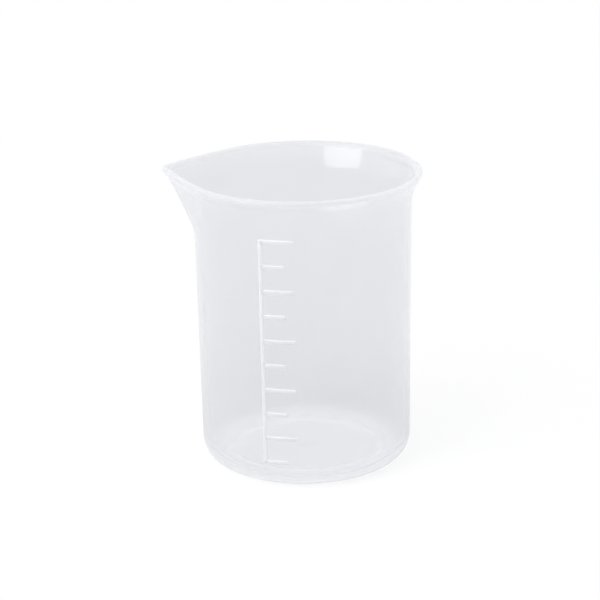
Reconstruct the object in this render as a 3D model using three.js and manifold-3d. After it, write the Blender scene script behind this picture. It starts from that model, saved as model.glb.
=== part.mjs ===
// Plastic beaker of 250 ml: a moulded shell with a flared lip and a pouring spout, and a raised volume scale.
// Millimetres, +Z up. The origin is on the beaker's axis, in the plane that it stands on.
// The spout points along -X and the scale faces -Y.

import * as THREE from 'three';
import { mergeVertices } from 'three/addons/utils/BufferGeometryUtils.js';
import Module from 'manifold-3d';

const wasm = await Module();
wasm.setup();

// Body
const height = 93.5; // standing plane to the top of the lip
const baseRadius = 33; // outside of the wall, where the heel ends
const shoulderRadius = 33.8; // outside of the wall, where the lip begins to flare
const rimRadius = 37.2; // outermost edge of the lip
const flareHeight = 12.3; // from the straight wall to the top of the lip
const wallThickness = 1.4;
const lipThickness = 1.7; // of the lip's rounded edge, to which the wall thickens up the flare
const baseThickness = 1.8;
const heelRadius = 7.3; // outside rounding between the wall and the base
const footWidth = 1.5; // flat ring that the beaker stands on
const recessDepth = 0.5; // middle of the underside, above that ring

// Pouring spout, drawn out of the lip as a V that narrows to a point on the wall
const spoutReach = 7.2; // tip of the spout beyond the lip's circle
const spoutDepth = 21.2; // top of the lip to the point where the V leaves the wall
const spoutLipAngle = THREE.MathUtils.degToRad(41); // half of the V's opening at the lip, from the axis
const spoutRootAngle = THREE.MathUtils.degToRad(18); // the same at the V's point
const spoutTipAngle = THREE.MathUtils.degToRad(0.8); // half of the rounding along the V's ridge
const spoutHollow = 2.5; // how far the V's flanks are drawn in: 1 is flat

// Volume scale: a line up the wall, with a mark to its right for each step of volume
const volumeStep = 25; // ml from one mark to the next
const longEvery = 2; // marks from one long mark to the next
const firstMark = 6.9; // middle of the lowest mark above the floor inside
const markSpacing = 7.87;
const lineWidth = 0.95;
const lineRelief = 0.35;
const lineDraft = 0.15; // lean of the line's flanks
const seatGap = 0.05; // between the scale and the wall, and between the line and its marks
const scaleOffset = 7.27; // middle of the line from the front of the beaker, round the wall
const longMark = 10.5; // middle of the line to the end of a long mark, round the wall
const shortMark = 7.6;

// Fineness of the facets
const columns = 96;
const columnCrowding = 0.45; // columns draw together towards the spout by this share
const arcSteps = 6;
const flareSteps = 5;
const spoutRings = 5;
const mergeDistance = 1e-4; // points nearer than this are one point

// Sizes that follow
const flareStart = height - flareHeight;
const floorHeight = recessDepth + baseThickness;
const footRadius = baseRadius - heelRadius;
const recessRadius = footRadius - footWidth;
const innerHeelRadius = heelRadius - baseThickness;
const halfWall = wallThickness / 2;
const lipRadius = lipThickness / 2;
const spoutRoot = height - spoutDepth;
const flareReach = rimRadius - lipRadius - (shoulderRadius - halfWall); // of the flare's middle surface
const flareRise = flareHeight - lipRadius;
const flareAngle = 2 * Math.atan(flareReach / flareRise);
const flareRadius = flareRise / Math.sin(flareAngle);
const flareCentre = shoulderRadius - halfWall + flareRadius;

// Outside of the straight wall at a height
function wallRadius(z) {
  const slope = (shoulderRadius - baseRadius) / (flareStart - heelRadius);
  return baseRadius + slope * (z - heelRadius);
}

// Points on an arc about (x, y), both ends included
function arc(x, y, radius, from, to, steps) {
  const curve = new THREE.EllipseCurve(x, y, radius, radius, from, to, to < from);
  return curve.getPoints(steps);
}

// Heights on the wall where the spout needs a ring of points, from its root up to the flare
function spoutHeights() {
  const heights = [];
  for (let i = 0; i < spoutRings; i++) {
    heights.push(THREE.MathUtils.lerp(spoutRoot, flareStart, i / spoutRings));
  }
  return heights.filter((z) => z > heelRadius && z < flareStart);
}

// One side of the flare, which thickens evenly from the wall to the lip: -1 is its outside and 1 its inside
function flareProfile(side) {
  const points = [];
  for (let i = 0; i <= flareSteps; i++) {
    const angle = Math.PI - (flareAngle * i) / flareSteps;
    const radius = flareRadius + side * THREE.MathUtils.lerp(halfWall, lipRadius, i / flareSteps);
    const z = flareStart + radius * Math.sin(angle);
    points.push(new THREE.Vector2(flareCentre + radius * Math.cos(angle), z));
  }
  return points;
}

// Outside of the shell in section, from the middle of the underside up to the lip
function outsideProfile() {
  const wall = spoutHeights().map((z) => new THREE.Vector2(wallRadius(z), z));
  return [
    new THREE.Vector2(0, recessDepth),
    new THREE.Vector2(recessRadius - recessDepth, recessDepth),
    new THREE.Vector2(recessRadius, 0),
    ...arc(footRadius, heelRadius, heelRadius, -Math.PI / 2, 0, arcSteps),
    ...wall,
    ...flareProfile(-1),
  ];
}

// Inside of the shell in section, from the middle of the floor up to the lip
function insideProfile() {
  const inset = (z) => wallRadius(z) - wallThickness;
  const wall = spoutHeights().map((z) => new THREE.Vector2(inset(z), z));
  const heelTop = floorHeight + innerHeelRadius;
  const heelCentre = inset(heelTop) - innerHeelRadius;
  return [
    new THREE.Vector2(0, floorHeight),
    ...arc(heelCentre, heelTop, innerHeelRadius, -Math.PI / 2, 0, arcSteps),
    ...wall,
    ...flareProfile(1),
  ];
}

// The lip's edge is a half round between the outside and the inside
function lipProfile() {
  const r = flareCentre - flareRadius * Math.cos(flareAngle);
  const z = flareStart + flareRadius * Math.sin(flareAngle);
  return arc(r, z, lipRadius, -flareAngle, Math.PI - flareAngle, arcSteps).slice(1, -1);
}

// Turns a profile of (radius, height) about Z, with the columns crowded towards the spout at -X
function revolve(profile) {
  const geometry = new THREE.LatheGeometry(profile, columns, 0, 2 * Math.PI);
  geometry.rotateX(Math.PI / 2);
  const position = geometry.attributes.position;
  for (let i = 0; i < position.count; i++) {
    const radius = Math.hypot(position.getX(i), position.getY(i));
    const even = Math.atan2(position.getY(i), -position.getX(i));
    const angle = even - columnCrowding * Math.sin(even);
    position.setXY(i, -radius * Math.cos(angle), radius * Math.sin(angle));
  }
  return geometry;
}

// How far the spout draws the shell out at an angle from the spout and a height
function spoutDraw(angle, z) {
  const rise = (z - spoutRoot) / spoutDepth;
  if (rise <= 0) return 0;
  const ridge = spoutReach * Math.sin((rise * Math.PI) / 2);
  const halfAngle = THREE.MathUtils.lerp(spoutRootAngle, spoutLipAngle, rise);
  const rounded = Math.hypot(angle, spoutTipAngle) - spoutTipAngle;
  return ridge * Math.max(0, 1 - rounded / halfAngle) ** spoutHollow;
}

// Draws the spout out of a revolved shell
function pullSpout(geometry) {
  const position = geometry.attributes.position;
  for (let i = 0; i < position.count; i++) {
    const x = position.getX(i);
    const y = position.getY(i);
    const radius = Math.hypot(x, y);
    const draw = spoutDraw(Math.abs(Math.atan2(y, -x)), position.getZ(i));
    if (draw > 0) position.setXY(i, x * (1 + draw / radius), y * (1 + draw / radius));
  }
  return geometry;
}

// A closed geometry as a solid for cutting, and a solid back as a geometry
function toSolid(geometry) {
  const bare = geometry.clone();
  bare.deleteAttribute('normal');
  bare.deleteAttribute('uv');
  const merged = mergeVertices(bare, mergeDistance);
  const vertProperties = new Float32Array(merged.attributes.position.array);
  const triVerts = new Uint32Array(merged.index.array);
  const mesh = new wasm.Mesh({ numProp: 3, vertProperties, triVerts });
  mesh.merge();
  return new wasm.Manifold(mesh);
}

function toGeometry(solid) {
  const mesh = solid.getMesh();
  const geometry = new THREE.BufferGeometry();
  geometry.setAttribute('position', new THREE.BufferAttribute(mesh.vertProperties, 3));
  geometry.setIndex(new THREE.BufferAttribute(mesh.triVerts, 1));
  geometry.computeVertexNormals();
  return geometry;
}

// A wedge about the axis between two places round the wall, measured from the front towards the spout
function wedge(from, to, low, high) {
  const reach = 2 * rimRadius;
  const corner = (place) => {
    const angle = place / shoulderRadius;
    return new THREE.Vector2(-reach * Math.sin(angle), -reach * Math.cos(angle));
  };
  const outline = new THREE.Shape([new THREE.Vector2(0, 0), corner(to), corner(from)]);
  const geometry = new THREE.ExtrudeGeometry(outline, { depth: high - low, bevelEnabled: false });
  return geometry.translate(0, 0, low);
}

// A raised line of the scale: a ring that leans with the wall, cut to a wedge
function scaleBar(from, to, low, high) {
  const seat = (z) => wallRadius(z) + seatGap;
  const ring = [
    new THREE.Vector2(seat(low), low),
    new THREE.Vector2(seat(low) + lineRelief, low + lineDraft),
    new THREE.Vector2(seat(high) + lineRelief, high - lineDraft),
    new THREE.Vector2(seat(high), high),
    new THREE.Vector2(seat(low), low),
  ];
  const whole = toSolid(revolve(ring));
  return toGeometry(whole.intersect(toSolid(wedge(from, to, low - lineWidth, high + lineWidth))));
}

const shellPlastic = { color: 0xe4e6ec, roughness: 0.28, metalness: 0, transparent: true, opacity: 0.4 };
const scalePlastic = { color: 0xf4f5f7, roughness: 0.45, metalness: 0 };

function part(name, geometry, material) {
  const mesh = new THREE.Mesh(geometry, new THREE.MeshStandardMaterial(material));
  mesh.name = name;
  return mesh;
}

function makeShell() {
  const profile = [...outsideProfile(), ...lipProfile(), ...insideProfile().reverse()];
  return part('beaker_shell', pullSpout(revolve(profile)), shellPlastic);
}

// Marks up to the flare, with long ones between the short, beside the line that carries them
function makeScale() {
  const scale = new THREE.Group();
  const half = lineWidth / 2;
  const heights = [];
  for (let z = floorHeight + firstMark; z + half < flareStart; z += markSpacing) {
    heights.push(z);
  }
  heights.forEach((z, i) => {
    const reach = (i + 1) % longEvery === 0 ? longMark : shortMark;
    const volume = String((i + 1) * volumeStep).padStart(3, '0');
    const bar = scaleBar(scaleOffset - reach, scaleOffset - half - seatGap, z - half, z + half);
    scale.add(part(`scale_mark_${volume}ml`, bar, scalePlastic));
  });
  const line = scaleBar(scaleOffset - half, scaleOffset + half, heights[0] - half, heights.at(-1) + half);
  scale.add(part('scale_line', line, scalePlastic));
  return scale;
}

const beaker = new THREE.Group();
beaker.add(makeShell());
beaker.add(makeScale());

export default beaker;
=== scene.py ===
import math

import bpy
import numpy as np
from mathutils import Matrix, Vector


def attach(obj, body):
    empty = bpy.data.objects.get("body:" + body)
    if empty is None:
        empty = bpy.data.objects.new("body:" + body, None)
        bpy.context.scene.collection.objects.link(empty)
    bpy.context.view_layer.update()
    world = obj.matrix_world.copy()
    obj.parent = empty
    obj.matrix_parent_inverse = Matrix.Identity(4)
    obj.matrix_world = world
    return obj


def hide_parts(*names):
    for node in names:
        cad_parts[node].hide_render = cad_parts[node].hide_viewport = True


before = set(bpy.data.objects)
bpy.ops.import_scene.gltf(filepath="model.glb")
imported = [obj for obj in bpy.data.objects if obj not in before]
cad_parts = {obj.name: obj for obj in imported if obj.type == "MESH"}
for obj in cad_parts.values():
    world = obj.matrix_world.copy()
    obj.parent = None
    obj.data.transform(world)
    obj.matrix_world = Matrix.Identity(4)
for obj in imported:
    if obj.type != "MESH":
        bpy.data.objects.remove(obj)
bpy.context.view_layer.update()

scene = bpy.context.scene
scene.view_settings.view_transform = "Standard"
mm = 0.001  # sizes below are in millimetres, and angles in degrees, unless a note says otherwise
white = (1.0, 1.0, 1.0, 1.0)
black = (0.0, 0.0, 0.0, 1.0)
print("frame:", len(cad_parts), "CAD nodes")


# Camera

cameraValues = {
    "turn": 10.4,  # round the axis, from the front towards +X
    "height": 18.31,  # above the table
    "distance": 711.0,  # from the aim point
    "aimSide": -1.335,  # aim point beside the axis, to the camera's right
    "aimHeight": 51.1,
    "roll": -1.053,
    "lens": 135.6,
}


# The way out from the axis: turned from the front towards +X, and raised above the table.
def wayOut(turn, height):
    turn, height = math.radians(turn), math.radians(height)
    level = math.cos(height)
    return Vector((math.sin(turn) * level, -math.cos(turn) * level, math.sin(height)))


# The camera looks back along the line from the aim point, and its right and up are turned by the roll.
def placeCamera(v):
    turn, roll = math.radians(v["turn"]), math.radians(v["roll"])
    right = Vector((math.cos(turn), math.sin(turn), 0))
    back = wayOut(v["turn"], v["height"])
    up = back.cross(right)
    aim = right * v["aimSide"] + Vector((0, 0, v["aimHeight"]))
    side = right * math.cos(roll) + up * math.sin(roll)
    top = up * math.cos(roll) - right * math.sin(roll)
    camera = bpy.data.objects.new("camera", bpy.data.cameras.new("camera"))
    camera.data.lens = v["lens"]
    place = Matrix((side, top, back)).transposed().to_4x4()
    place.translation = (aim + back * v["distance"]) * mm
    camera.matrix_world = place
    scene.collection.objects.link(camera)
    scene.camera = camera


placeCamera(cameraValues)
print("camera placed")


# Meshes

# A grid of points, closed round its columns and ended by a pole at each end where one is given.
def gridPiece(name, points, firstPole=None, lastPole=None):
    rows, columns = points.shape[:2]
    here = np.arange(rows * columns).reshape(rows, columns)
    over = np.roll(here, -1, axis=1)
    faces = np.stack([here[:-1], here[1:], over[1:], over[:-1]], axis=-1).reshape(-1, 4).tolist()
    vertices = points.reshape(-1, 3)
    if firstPole is not None:
        pole = np.full(columns, len(vertices))
        vertices = np.vstack([vertices, firstPole])
        faces += np.stack([pole, here[0], over[0]], axis=-1).tolist()
    if lastPole is not None:
        pole = np.full(columns, len(vertices))
        vertices = np.vstack([vertices, lastPole])
        faces += np.stack([over[-1], here[-1], pole], axis=-1).tolist()
    mesh = bpy.data.meshes.new(name)
    mesh.from_pydata((vertices * mm).tolist(), [], faces)
    mesh.validate()
    mesh.polygons.foreach_set("use_smooth", np.ones(len(mesh.polygons), bool))
    mesh.update()
    piece = bpy.data.objects.new(name, mesh)
    scene.collection.objects.link(piece)
    return piece


# Rises from 0 to 1 between two values of x, level at both ends.
def smoothStep(x, low, high):
    t = np.clip((x - low) / (high - low), 0, 1)
    return t * t * (3 - 2 * t)


# A power of x that keeps its sign.
def signedPower(x, power):
    return np.sign(x) * np.abs(x) ** power


# Points of a section, from radii and heights.
def sectionPoints(r, z):
    return np.stack(np.broadcast_arrays(r, z), axis=-1)


# Points of a section on an arc about (r, z), both ends included.
def arcPoints(r, z, radius, start, end, count):
    angle = np.linspace(start, end, count)
    return sectionPoints(r + radius * np.cos(angle), z + radius * np.sin(angle))


# Shell

shell = {
    "height": 93.5,
    "baseRadius": 33.0,  # outside of the wall, where the heel ends
    "shoulderRadius": 33.8,  # outside of the wall, where the lip begins to flare
    "rimRadius": 37.2,
    "flareHeight": 12.3,
    "wall": 1.4,
    "lip": 2.2,  # rounded edge of the lip
    "lipSwell": 0.3,  # share of the flare over which the wall swells to it
    "base": 1.8,
    "heelRadius": 7.3,
    "footWidth": 1.5,
    "recess": 0.5,  # underside above the foot ring
    "recessEase": 0.3,  # rounding of the recess's edge
    "gateRadius": 1.1,  # stub that the moulding gate leaves in the middle of the underside
    "gateStub": 0.25,
    "gateEase": 0.3,
    "dishRadius": 3.4,  # shallow dish round the stub
    "dishDepth": 0.12,
    "dishEase": 0.8,
    "ringRadius": 23.4,  # low round ridge on the floor inside
    "ringHeight": 1.1,
    "ringWidth": 1.4,
    "spoutReach": 7.2,
    "spoutDepth": 21.2,
    "spoutLipAngle": 41.0,  # half of the spout's opening at the lip, from the axis
    "spoutRootAngle": 18.0,  # the same where it leaves the wall
    "spoutTipAngle": 1.6,  # half of the rounding along its ridge
    "spoutHollow": 2.5,  # how far its flanks are drawn in: 1 is flat
    "spoutEase": 0.05,  # rounding where it leaves the wall, as a share of its depth
    "spoutFade": 6.0,  # height below it over which that rounding ends
    "columns": 360,
    "crowding": 0.72,  # columns draw together towards the spout by this share
    "flareCrowding": 1.6,  # rows draw together towards the lip by this power
    "poleGap": 0.2,  # first row from the middle of the underside and of the floor
    # rows in each stretch of the section
    "rows": {"gate": 20, "recess": 9, "step": 15, "outerHeel": 17, "wall": 24, "spout": 12, "flare": 27,
             "lip": 15, "innerHeel": 21, "ring": 17, "floor": 10},
}
flareStart = shell["height"] - shell["flareHeight"]
floorHeight = shell["recess"] + shell["base"]
footRadius = shell["baseRadius"] - shell["heelRadius"]
recessRadius = footRadius - shell["footWidth"]
stepStart = recessRadius - shell["recess"] - shell["recessEase"]  # of the step down to the foot ring
stepEnd = recessRadius + shell["recessEase"]
innerHeel = shell["heelRadius"] - shell["base"]
innerHeelTop = floorHeight + innerHeel
halfWall = shell["wall"] / 2
lipRadius = shell["lip"] / 2
spoutRoot = shell["height"] - shell["spoutDepth"]
flareReach = shell["rimRadius"] - lipRadius - (shell["shoulderRadius"] - halfWall)
flareRise = shell["flareHeight"] - lipRadius
flareAngle = 2 * math.atan(flareReach / flareRise)
flareRadius = flareRise / math.sin(flareAngle)
flareCentre = shell["shoulderRadius"] - halfWall + flareRadius


# The outside of the straight wall is a line from the heel to the shoulder.
def wallRadius(z):
    slope = (shell["shoulderRadius"] - shell["baseRadius"]) / (flareStart - shell["heelRadius"])
    return shell["baseRadius"] + slope * (z - shell["heelRadius"])


# Heights up the straight wall, above the heel and below the flare, closer together beside the spout.
def wallHeights(heelTop):
    return np.concatenate([
        np.linspace(heelTop, spoutRoot, shell["rows"]["wall"])[1:],
        np.linspace(spoutRoot, flareStart, shell["rows"]["spout"])[1:-1],
    ])


# One side of the flare is an arc that swells to the lip near its end: -1 is its outside and 1 its inside.
def flareSide(side):
    along = 1 - np.linspace(1, 0, shell["rows"]["flare"]) ** shell["flareCrowding"]
    angle = math.pi - flareAngle * along
    swell = smoothStep(along, 1 - shell["lipSwell"], 1)
    radius = flareRadius + side * (halfWall + (lipRadius - halfWall) * swell)
    return sectionPoints(flareCentre + radius * np.cos(angle), flareStart + radius * np.sin(angle))


# The underside is level in its recess, steps down to the foot ring, and has the gate's stub in a dish.
def undersideHeight(r):
    recess = 1 - smoothStep(r, stepStart, stepEnd)
    dish = 1 - smoothStep(r, shell["dishRadius"] - shell["dishEase"], shell["dishRadius"])
    stub = 1 - smoothStep(r, shell["gateRadius"] - shell["gateEase"], shell["gateRadius"])
    stubHeight = shell["dishDepth"] + shell["gateStub"]
    return shell["recess"] * recess + shell["dishDepth"] * dish - stubHeight * stub


# The outside goes from the middle of the underside to the foot, round the heel and up to the lip.
def outsideSection():
    rows = shell["rows"]
    dishEnd = shell["dishRadius"] + shell["dishEase"] / 2
    under = np.concatenate([
        np.linspace(shell["poleGap"], dishEnd, rows["gate"]),
        np.linspace(dishEnd, stepStart - 2 * shell["recessEase"], rows["recess"])[1:],
        np.linspace(stepStart - shell["recessEase"], stepEnd, rows["step"]),
    ])
    heights = wallHeights(shell["heelRadius"])
    return np.concatenate([
        sectionPoints(under, undersideHeight(under)),
        arcPoints(footRadius, shell["heelRadius"], shell["heelRadius"], -math.pi / 2, 0, rows["outerHeel"]),
        sectionPoints(wallRadius(heights), heights),
        flareSide(-1),
    ])


# The inside goes from the middle of the floor over the ridge, which is a squared cosine, and up to the lip.
def insideSection():
    rows = shell["rows"]
    over = np.linspace(-1, 1, rows["ring"])
    ring = sectionPoints(shell["ringRadius"] + shell["ringWidth"] / 2 * over,
                         floorHeight + shell["ringHeight"] * np.cos(over * math.pi / 2) ** 2)
    level = np.linspace(shell["poleGap"], ring[0, 0], rows["floor"])[:-1]
    heights = wallHeights(innerHeelTop)
    heelCentre = wallRadius(innerHeelTop) - shell["wall"] - innerHeel
    return np.concatenate([
        sectionPoints(level, floorHeight),
        ring,
        arcPoints(heelCentre, innerHeelTop, innerHeel, -math.pi / 2, 0, rows["innerHeel"]),
        sectionPoints(wallRadius(heights) - shell["wall"], heights),
        flareSide(1),
    ])


# The section runs up the outside, over the half round of the lip, and down the inside.
def shellSection():
    lip = arcPoints(shell["rimRadius"] - lipRadius, shell["height"] - lipRadius, lipRadius,
                    -flareAngle, math.pi - flareAngle, shell["rows"]["lip"])
    return np.concatenate([outsideSection(), lip[1:-1], insideSection()[::-1]])


# The spout's ridge follows a quarter sine up to the lip, and its flanks fall off hollow to each side of it.
def spoutDraw(angle, z):
    rise = (z - spoutRoot) / shell["spoutDepth"]
    rise = (rise + np.hypot(rise, shell["spoutEase"])) / 2
    ridge = shell["spoutReach"] * np.sin(np.clip(rise, 0, 1) * math.pi / 2)
    root, lip, tip = (math.radians(shell[f"spout{end}Angle"]) for end in ("Root", "Lip", "Tip"))
    halfAngle = root + (lip - root) * rise
    rounded = np.hypot(angle, tip) - tip
    fade = smoothStep(z, spoutRoot - shell["spoutFade"], spoutRoot)
    return fade * ridge * np.maximum(0, 1 - rounded / halfAngle) ** shell["spoutHollow"]


# The section is turned about the axis, with the columns crowded by a sine, and drawn outwards by the spout.
def makeShell():
    section = shellSection()
    even = np.linspace(-math.pi, math.pi, shell["columns"], endpoint=False)
    angle = even - shell["crowding"] * np.sin(even)
    r, z = section[:, :1], section[:, 1:]
    reach = r + spoutDraw(np.abs(angle)[None, :], z)
    height = np.broadcast_to(z, reach.shape)
    points = np.stack([-reach * np.cos(angle), reach * np.sin(angle), height], axis=-1)
    piece = gridPiece("beaker_shell_moulding", points,
                      firstPole=np.array([0, 0, undersideHeight(np.array(0.0))]),
                      lastPole=np.array([0, 0, floorHeight]))
    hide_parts("beaker_shell")
    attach(piece, "root")
    return piece


shellPiece = makeShell()
print("shell:", len(shellPiece.data.polygons), "faces")


# Scale

scale = {
    "volumeStep": 25,  # ml from one mark to the next
    "marks": 10,
    "longEvery": 2,  # marks from one long mark to the next
    "firstMark": 6.9,  # above the floor inside
    "spacing": 7.87,
    "lineWidth": 1.25,
    "relief": 0.2,
    "sunk": 0.12,  # how deep a bead sits in the wall
    "endRound": 0.5,  # length of a bead's rounded end
    "sideRound": 0.8,  # powers that shape a bead's sides and its top: 1 is round, and less is squarer
    "topRound": 0.4,
    "offset": 7.27,  # the line from the front of the beaker, round the wall towards the spout
    "longMark": 10.5,  # from the line to a mark's end
    "shortMark": 7.6,
    "rows": 41,  # along a bead
    "columns": 24,  # round it
}


# A place round the wall, a height and a distance out of the wall, as a point.
def onWall(place, z, out):
    angle = place / shell["shoulderRadius"]
    reach = wallRadius(z) + out
    return np.stack([-reach * np.sin(angle), -reach * np.cos(angle), z], axis=-1)


# A bead's section is a flat-topped dome above the wall and a shallower one below it. It is carried from
# start to end, and shrinks to a quarter round at both.
def beadSurface(start, end):
    even = np.linspace(-math.pi / 2, math.pi / 2, scale["rows"])[1:-1]
    along = start + (end - start) * (1 + np.sin(even)) / 2
    toEnd = np.minimum(np.abs(along - start), np.abs(end - along)) / scale["endRound"]
    size = np.sqrt(1 - (1 - np.clip(toEnd, 0, 1)) ** 2)[:, None]
    turn = np.linspace(0, 2 * math.pi, scale["columns"], endpoint=False)[None, :]
    across = scale["lineWidth"] / 2 * signedPower(np.cos(turn), scale["sideRound"]) * size
    lift = signedPower(np.sin(turn), scale["topRound"])
    out = np.where(lift > 0, scale["relief"], scale["sunk"]) * lift * size
    return np.broadcast_to(along[:, None], across.shape), across, out


# A bead runs up the wall with its middle at one place, or round it with its middle at one height.
def makeBead(node, start, end, middle, upright):
    along, across, out = beadSurface(start, end)
    ends, middles = np.array([start, end]), np.full(2, middle)
    if upright:
        points, poles = onWall(middle + across, along, out), onWall(middles, ends, 0)
    else:
        points, poles = onWall(along, middle + across, out), onWall(ends, middles, 0)
    piece = gridPiece(node + "_bead", points, *poles)
    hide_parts(node)
    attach(piece, "root")
    return piece


# The line reaches from the top mark to the lowest, and each mark runs from its own end to the line.
def makeScale():
    half = scale["lineWidth"] / 2
    heights = floorHeight + scale["firstMark"] + scale["spacing"] * np.arange(scale["marks"])
    pieces = [makeBead("scale_line", heights[-1] + half, heights[0] - half, scale["offset"], True)]
    for count, z in enumerate(heights, 1):
        reach = scale["shortMark"] if count % scale["longEvery"] else scale["longMark"]
        node = f"scale_mark_{count * scale['volumeStep']:03d}ml"
        pieces.append(makeBead(node, scale["offset"] - reach, scale["offset"], z, False))
    return pieces


scalePieces = makeScale()
print("scale:", len(scalePieces), "beads")


# Nodes

nodeStep = 220  # from one node to the next in the node editor


# A new node beside the tree's others. Its inputs go by name or number, as values or as sockets to link.
def addNode(tree, kind, inputs=None, **settings):
    node = tree.nodes.new(kind)
    node.location.x = nodeStep * len(tree.nodes)
    for key, value in settings.items():
        setattr(node, key, value)
    for key, source in (inputs or {}).items():
        if isinstance(source, bpy.types.NodeSocket):
            tree.links.new(source, node.inputs[key])
        else:
            node.inputs[key].default_value = source
    return node


# One calculation on numbers or sockets, in the order of the node's inputs.
def addMath(tree, operation, *sources):
    return addNode(tree, "ShaderNodeMath", dict(enumerate(sources)), operation=operation).outputs[0]


# Carries a value from one range to another and stops at its ends.
def addRange(tree, value, given, wanted, kind="LINEAR"):
    inputs = {"Value": value, "From Min": given[0], "From Max": given[1]}
    inputs |= {"To Min": wanted[0], "To Max": wanted[1]}
    return addNode(tree, "ShaderNodeMapRange", inputs, interpolation_type=kind).outputs["Result"]


# Noise on coordinates that are turned and stretched.
def addNoise(tree, coords, stretch, detail, roughness, turn=(0.0, 0.0, 0.0)):
    place = addNode(tree, "ShaderNodeMapping", {"Vector": coords, "Rotation": turn, "Scale": stretch})
    inputs = {"Vector": place.outputs["Vector"], "Scale": 1.0, "Detail": detail, "Roughness": roughness}
    return addNode(tree, "ShaderNodeTexNoise", inputs).outputs["Fac"]


# A material or world with an empty node tree.
def emptyTree(owner):
    owner.use_nodes = True
    owner.node_tree.nodes.clear()
    return owner.node_tree


# Materials

skinValues = {
    # noise, with its waves in a metre along X, Y and Z, and its turn in radians
    "clouds": {"stretch": (55.0, 55.0, 55.0), "detail": 3.0, "roughness": 0.55},
    "streaks": {"stretch": (420.0, 420.0, 14.0), "detail": 2.0, "roughness": 0.5},
    "scuffs": {"stretch": (900.0, 60.0, 900.0), "detail": 4.0, "roughness": 0.6, "turn": (0.5, 0.9, 0.3)},
    "cloudRange": (0.3, 0.7),  # noise that turns into the darkest and the brightest cloud
    "scuffRange": (0.64, 0.76),  # noise between which a scuff comes in
    "streakDull": 0.06,  # roughness that streaks and scuffs add
    "scuffDull": 0.2,
    "scuffHeight": -0.4,  # as a share of the streaks' height
}
skinSockets = {
    "INPUT": {"Colour": "Color", "Cloudiness": "Float", "Gloss": "Float", "Scuffing": "Float"},
    "OUTPUT": {"Colour": "Color", "Roughness": "Float", "Height": "Float"},
}


# The skin of moulded plastic: slow clouds in its colour, upright flow streaks and fine scuffs.
def makeSkinGroup(v):
    tree = bpy.data.node_groups.new("mouldedSkin", "ShaderNodeTree")
    for side, sockets in skinSockets.items():
        for name, kind in sockets.items():
            tree.interface.new_socket(name, in_out=side, socket_type="NodeSocket" + kind)
    given = addNode(tree, "NodeGroupInput").outputs
    coords = addNode(tree, "ShaderNodeTexCoord").outputs["Object"]
    clouds, streaks, scuffs = (addNoise(tree, coords, **v[k]) for k in ("clouds", "streaks", "scuffs"))
    worn = addRange(tree, scuffs, v["scuffRange"], (0.0, 1.0))
    worn = addMath(tree, "MULTIPLY", worn, given["Scuffing"])
    shade = addRange(tree, clouds, v["cloudRange"], (-1.0, 1.0))
    bright = addMath(tree, "ADD", addMath(tree, "MULTIPLY", shade, given["Cloudiness"]), 1.0)
    tint = {0: given["Colour"], "Scale": bright}
    colour = addNode(tree, "ShaderNodeVectorMath", tint, operation="SCALE")
    dull = addMath(tree, "MULTIPLY_ADD", streaks, v["streakDull"], given["Gloss"])
    roughness = addMath(tree, "MULTIPLY_ADD", worn, v["scuffDull"], dull)
    height = addMath(tree, "MULTIPLY_ADD", worn, v["scuffHeight"], streaks)
    results = {"Colour": colour.outputs[0], "Roughness": roughness, "Height": height}
    addNode(tree, "NodeGroupOutput", results)
    return tree


skinGroup = makeSkinGroup(skinValues)


clearPlastic = {
    "colour": (0.977, 0.979, 0.986, 1.0),
    "transmission": 1.0,
    "ior": 1.49,
    "gloss": 0.10,
    "cloudiness": 0.01,
    "scuffing": 0.5,
    "relief": 0.01,  # height of the skin's streaks and scuffs
    "edgeRough": 0.35,  # more roughness on the lip's edge, which comes in between two heights
    "edgeHeights": (91.6, 92.8),
    "haze": 180.0,  # scatterings in a metre of the plastic
    "hazeForward": 0.3,  # 0 scatters evenly all round, and 1 straight on
    "dimming": 2.5,  # losses in a metre of it, which darken edges seen along the wall
}
scalePlastic = {
    "colour": (0.65, 0.654, 0.665, 1.0),
    "transmission": 0.0,
    "ior": 1.49,
    "gloss": 0.42,
    "cloudiness": 0.015,
    "scuffing": 0.6,
    "relief": 0.02,
    "glow": 1.0,  # share of light that spreads inside a bead
    "glowReach": 1.0,
}


# Adds roughness that grows smoothly from one height to another.
def roughEdge(tree, roughness, v):
    coords = addNode(tree, "ShaderNodeTexCoord").outputs["Object"]
    height = addNode(tree, "ShaderNodeSeparateXYZ", {0: coords}).outputs["Z"]
    low, high = (z * mm for z in v["edgeHeights"])
    more = addRange(tree, height, (low, high), (0.0, v["edgeRough"]), "SMOOTHSTEP")
    return addMath(tree, "ADD", roughness, more)


# Light is scattered inside the plastic, and a little of it is lost.
def hazeInside(tree, v):
    scatter = {"Color": white, "Density": v["haze"], "Anisotropy": v["hazeForward"]}
    haze = addNode(tree, "ShaderNodeVolumeScatter", scatter)
    dimming = addNode(tree, "ShaderNodeVolumeAbsorption", {"Color": black, "Density": v["dimming"]})
    both = {0: haze.outputs["Volume"], 1: dimming.outputs["Volume"]}
    return addNode(tree, "ShaderNodeAddShader", both).outputs[0]


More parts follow.
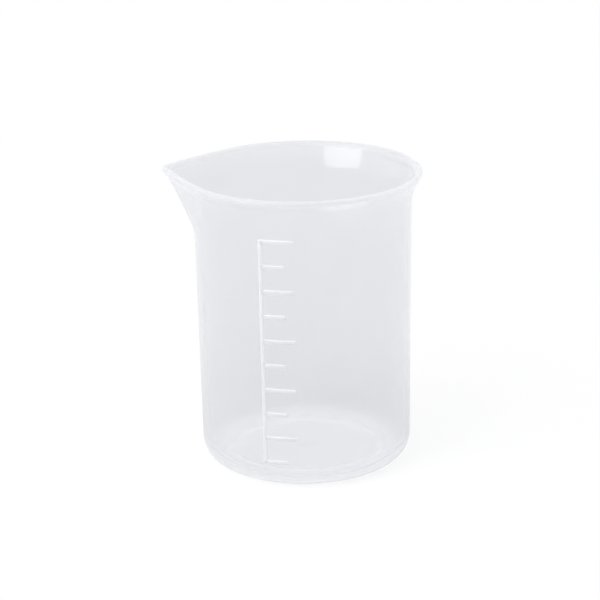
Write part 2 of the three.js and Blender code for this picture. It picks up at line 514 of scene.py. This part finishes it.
# The skin gives the colour, roughness and bump. A rough edge, glow and haze come in where they are given.
def makePlastic(name, v):
    material = bpy.data.materials.new(name)
    tree = emptyTree(material)
    looks = {key: v[key.lower()] for key in skinSockets["INPUT"]}
    skin = addNode(tree, "ShaderNodeGroup", looks, node_tree=skinGroup).outputs
    relief = {"Strength": 1.0, "Distance": v["relief"] * mm, "Height": skin["Height"]}
    bump = addNode(tree, "ShaderNodeBump", relief)
    finish = {
        "Base Color": skin["Colour"],
        "Roughness": skin["Roughness"],
        "Normal": bump.outputs["Normal"],
        "IOR": v["ior"],
        "Transmission Weight": v["transmission"],
    }
    if "edgeRough" in v:
        finish["Roughness"] = roughEdge(tree, skin["Roughness"], v)
    if "glow" in v:
        finish["Subsurface Weight"] = v["glow"]
        finish["Subsurface Radius"] = (1.0, 1.0, 1.0)  # the same for red, green and blue
        finish["Subsurface Scale"] = v["glowReach"] * mm
    surface = addNode(tree, "ShaderNodeBsdfPrincipled", finish)
    results = {"Surface": surface.outputs["BSDF"]}
    if "haze" in v:
        results["Volume"] = hazeInside(tree, v)
    addNode(tree, "ShaderNodeOutputMaterial", results)
    return material


shellPiece.data.materials.append(makePlastic("clearPlastic", clearPlastic))
scaleMaterial = makePlastic("scalePlastic", scalePlastic)
for piece in scalePieces:
    piece.data.materials.append(scaleMaterial)
print("materials made")


# Stage: a white floor, a soft white sky and one softbox

stageValues = {
    "floorRadius": 3000.0,
    "floorDrop": 0.1,  # below the foot ring
    "floorMiddle": 7.5,  # radius of its innermost row
    "floorRows": 12,
    "floorColumns": 96,
    "floorColour": (0.44, 0.44, 0.44, 1.0),  # for the light that the floor sends to the beaker; darker than for the camera, it sets how deep the painted shade round the foot is
    "floorSeen": (0.76, 0.76, 0.76, 1.0),  # for the camera
    "shadowReach": (30.0, 150.0),  # from the axis, between which near turns into far, and over which the painted shade round the foot fades out
    "whiteSeen": (0.72, 0.985),  # share of plain white in the floor for the camera, near and far
    "whiteInGloss": (0.43, 0.92),  # the same for gloss; the rest of the floor keeps the shadow, and the lower share near the foot paints shade there, also seen through the plastic
    "whiteUnder": 1.0,  # the same through the plastic under the base: a painted pool of light where light falls through it
    "underReach": (27.0, 42.0),  # from the axis, between which that painted pool of light turns into the share for gloss
    "floorLevels": (1.0, 0.83),  # brightness of the floor's white in gloss and through the plastic
    "skyLevels": (0.7, 0.62),  # the same for the sky
    "skyLight": 0.5,  # light from the sky on surfaces
    "skyTop": 1.3,  # more from overhead
    "skyLeft": 0.5,  # and from the camera's left
    "skySpread": 2.0,  # power by which these fall off to the sides
    "cool": (0.969, 0.975, 1.0, 1.0),  # cast of the floor's white and the sky on the beaker
    "keyTurn": -47.0,  # softbox from the camera's side, towards the spout
    "keyHeight": 29.0,
    "keyDistance": 800.0,
    "keyAim": 50.0,  # height that it faces
    "keySize": (570.0, 600.0),
    "keyPower": 3.6,  # watts
    "bounces": 64,  # light goes on inside the plastic's wall
}


# The brightness of white to a ray: 1 for the camera, its own levels in gloss and through the plastic, and 0
# for light on surfaces. A ray through the plastic counts as gloss too, so that is taken off.
def whiteLevel(tree, levels):
    inGloss, through = levels
    path = addNode(tree, "ShaderNodeLightPath").outputs
    level = addMath(tree, "MULTIPLY_ADD", path["Is Glossy Ray"], inGloss, path["Is Camera Ray"])
    return addMath(tree, "MULTIPLY_ADD", path["Is Transmission Ray"], through - inGloss, level)


# One colour for the camera, and another for all else.
def forCamera(tree, seen, other):
    path = addNode(tree, "ShaderNodeLightPath").outputs
    inputs = {"Factor": path["Is Camera Ray"], "A": other, "B": seen}
    return addNode(tree, "ShaderNodeMix", inputs, data_type="RGBA").outputs["Result"]


# The share of plain white in the floor changes with the distance from the axis, for each kind of ray.
# Less white near the foot paints shade there in gloss and through the plastic.
def whiteShare(tree, v):
    path = addNode(tree, "ShaderNodeLightPath").outputs
    coords = addNode(tree, "ShaderNodeTexCoord").outputs["Object"]
    away = addNode(tree, "ShaderNodeVectorMath", {0: coords}, operation="LENGTH").outputs["Value"]
    # a painted pool of light under the base, added to the share for gloss through the plastic
    under = v["whiteUnder"] - v["whiteInGloss"][0]
    share = 0.0
    for kind, reach, ends in (("Is Camera Ray", v["shadowReach"], v["whiteSeen"]),
                              ("Is Glossy Ray", v["shadowReach"], v["whiteInGloss"]),
                              ("Is Transmission Ray", v["underReach"], (under, 0.0))):
        ring = addRange(tree, away, (reach[0] * mm, reach[1] * mm), ends, "SMOOTHSTEP")
        share = addMath(tree, "MULTIPLY_ADD", path[kind], ring, share)
    return share


# The floor is a disc with rows at the squares of even steps. It mixes matte and plain white, by a share
# that paints shade round the foot and a pool of light under the base.
def makeFloor(v):
    turn = np.linspace(0, 2 * math.pi, v["floorColumns"], endpoint=False)[None, :]
    outer, inner = math.sqrt(v["floorRadius"]), math.sqrt(v["floorMiddle"])
    reach = np.linspace(outer, inner, v["floorRows"])[:, None] ** 2
    height = np.full((v["floorRows"], v["floorColumns"]), -v["floorDrop"])
    points = np.stack([reach * np.cos(turn), reach * np.sin(turn), height], axis=-1)
    floor = gridPiece("floor", points, lastPole=np.array([0, 0, -v["floorDrop"]]))
    material = bpy.data.materials.new("floorWhite")
    tree = emptyTree(material)
    colour = forCamera(tree, v["floorSeen"], v["floorColour"])
    matte = addNode(tree, "ShaderNodeBsdfDiffuse", {"Color": colour})
    lit = {"Color": forCamera(tree, white, v["cool"]), "Strength": whiteLevel(tree, v["floorLevels"])}
    glow = addNode(tree, "ShaderNodeEmission", lit)
    mix = addNode(tree, "ShaderNodeMixShader",
                  {"Fac": whiteShare(tree, v), 1: matte.outputs["BSDF"], 2: glow.outputs["Emission"]})
    addNode(tree, "ShaderNodeOutputMaterial", {"Surface": mix.outputs["Shader"]})
    floor.data.materials.append(material)


# The sky is even, and brightens overhead and to the camera's left by a power of the cosine from there.
def makeSky(v):
    scene.world = bpy.data.worlds.new("surround")
    tree = emptyTree(scene.world)
    coords = addNode(tree, "ShaderNodeTexCoord").outputs["Generated"]
    strength = addMath(tree, "MAXIMUM", whiteLevel(tree, v["skyLevels"]), v["skyLight"])
    turn = math.radians(cameraValues["turn"])
    left = (-math.cos(turn), -math.sin(turn), 0.0)
    for towards, gain in (((0.0, 0.0, 1.0), v["skyTop"]), (left, v["skyLeft"])):
        cosine = addNode(tree, "ShaderNodeVectorMath", {0: coords, 1: towards}, operation="DOT_PRODUCT")
        facing = addMath(tree, "MAXIMUM", cosine.outputs["Value"], 0.0)
        soft = addMath(tree, "POWER", facing, v["skySpread"])
        strength = addMath(tree, "MULTIPLY_ADD", soft, gain, strength)
    lit = {"Color": forCamera(tree, white, v["cool"]), "Strength": strength}
    sky = addNode(tree, "ShaderNodeBackground", lit)
    addNode(tree, "ShaderNodeOutputWorld", {"Surface": sky.outputs["Background"]})


# The softbox faces a height on the axis, and shows only as a gleam and as light on surfaces.
def makeSoftbox(v):
    away = wayOut(cameraValues["turn"] + v["keyTurn"], v["keyHeight"])
    lamp = bpy.data.lights.new("keySoftbox", "AREA")
    lamp.shape = "RECTANGLE"
    lamp.size, lamp.size_y = (side * mm for side in v["keySize"])
    lamp.energy = v["keyPower"]
    softbox = bpy.data.objects.new("keySoftbox", lamp)
    softbox.location = (away * v["keyDistance"] + Vector((0, 0, v["keyAim"]))) * mm
    softbox.rotation_mode = "QUATERNION"
    softbox.rotation_quaternion = away.to_track_quat("Z", "Y")
    softbox.visible_camera = False
    softbox.visible_transmission = False
    scene.collection.objects.link(softbox)


makeFloor(stageValues)
makeSky(stageValues)
makeSoftbox(stageValues)
for kind in ("max", "glossy", "transmission", "diffuse", "volume"):
    setattr(scene.cycles, kind + "_bounces", stageValues["bounces"])
scene.cycles.blur_glossy = 0.0  # keeps the light that the haze scatters inside the wall
print("stage set")
